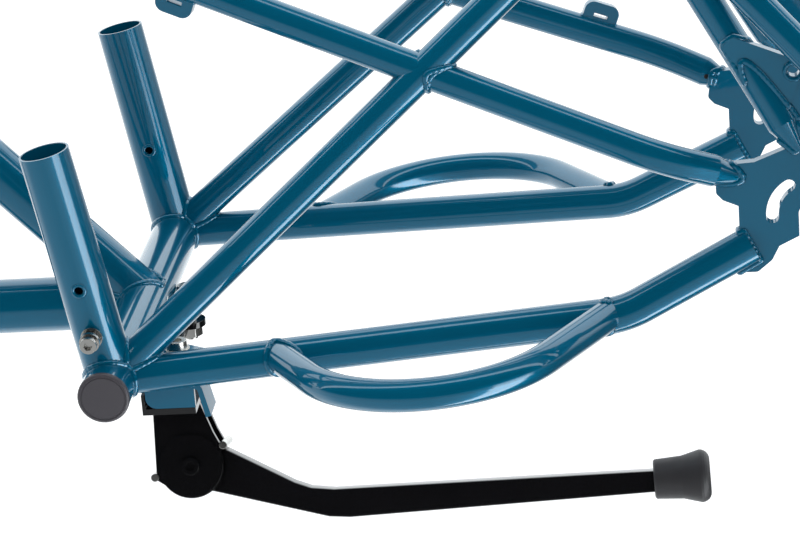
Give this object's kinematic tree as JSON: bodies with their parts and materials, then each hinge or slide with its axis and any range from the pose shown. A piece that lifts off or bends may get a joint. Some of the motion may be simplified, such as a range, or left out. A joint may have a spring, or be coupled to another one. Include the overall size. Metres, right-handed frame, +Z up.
{
  "type": "cargo bicycle frameset",
  "caption": "Long-tail cargo bicycle frameset: welded tube frame with rack sockets, side loops, slotted dropouts, fork, headset and a folding side kickstand.",
  "frame": {"origin": "centre of the bottom bracket shell", "axes": "+X rearward along the bicycle, +Y to the rider's right along the crank axis, +Z up"},
  "size_m": [1.6965, 0.437, 0.8032],
  "materials": {
    "blue_paint": "gloss",
    "bright_steel": "satin",
    "black_alloy": "satin",
    "black_paint": "gloss",
    "foot_rubber": "matte",
    "cap_plastic": "matte"
  },
  "bodies": {
    "frame": {"bottom_bracket_shell": "blue_paint", "seat_tube": "blue_paint", "down_tube": "blue_paint", "top_tube": "blue_paint", "head_tube": "blue_paint", "boom_tube": "blue_paint", "mid_strut": "blue_paint", "cross_tube": "blue_paint", "socket_left": "blue_paint", "socket_right": "blue_paint", "diagonal_left": "blue_paint", "diagonal_right": "blue_paint", "lower_stay_left": "blue_paint", "lower_stay_right": "blue_paint", "side_loop_left": "blue_paint", "side_loop_right": "blue_paint", "upper_stay_front_left": "blue_paint", "upper_stay_front_right": "blue_paint", "upper_stay_rear_left": "blue_paint", "upper_stay_rear_right": "blue_paint", "rear_upright_left": "blue_paint", "rear_upright_right": "blue_paint", "rear_brace_left": "blue_paint", "rear_brace_right": "blue_paint", "rear_socket_left": "blue_paint", "rear_socket_right": "blue_paint", "rear_stub_left": "blue_paint", "rear_stub_right": "blue_paint", "dropout_left": "blue_paint", "dropout_right": "blue_paint", "stay_bridge": "blue_paint", "hose_guides": "blue_paint", "tube_caps": "cap_plastic", "rack_bolts": "bright_steel", "rack_bolt_nuts": "bright_steel", "seat_clamp": "bright_steel", "seat_clamp_bolt": "bright_steel", "upper_cup": "black_alloy", "lower_cup": "black_alloy", "upper_bearing": "bright_steel", "lower_bearing": "bright_steel", "kickstand_plate": "blue_paint", "stand_mount": "black_paint", "stand_bolts": "bright_steel", "stand_nuts": "bright_steel", "stand_pivot_bolt": "black_paint", "stop_pins": "bright_steel", "friction_washers": "bright_steel"},
    "fork": {"compression_ring": "bright_steel", "headset_cover": "black_alloy", "steerer_spacers": "black_alloy", "crown_race": "bright_steel", "steerer": "blue_paint", "fork_crown": "blue_paint", "fork_blade_left": "blue_paint", "fork_blade_right": "blue_paint", "fork_dropouts": "blue_paint"},
    "stand": {"stand_leg": "black_paint", "stand_foot": "foot_rubber"}
  },
  "joints": [
    {"name": "steering", "type": "hinge", "parent": "frame", "child": "fork", "pos_m": [-0.472, 0, 0.504], "axis": [0.3987, 0, 0.9171], "range_deg": [-60, 60]},
    {"name": "stand_fold", "type": "hinge", "parent": "frame", "child": "stand", "pos_m": [0.5017, -0.1066, -0.0687], "axis": [0, 0.9659, -0.2588], "range_deg": [0, 105]}
  ]
}
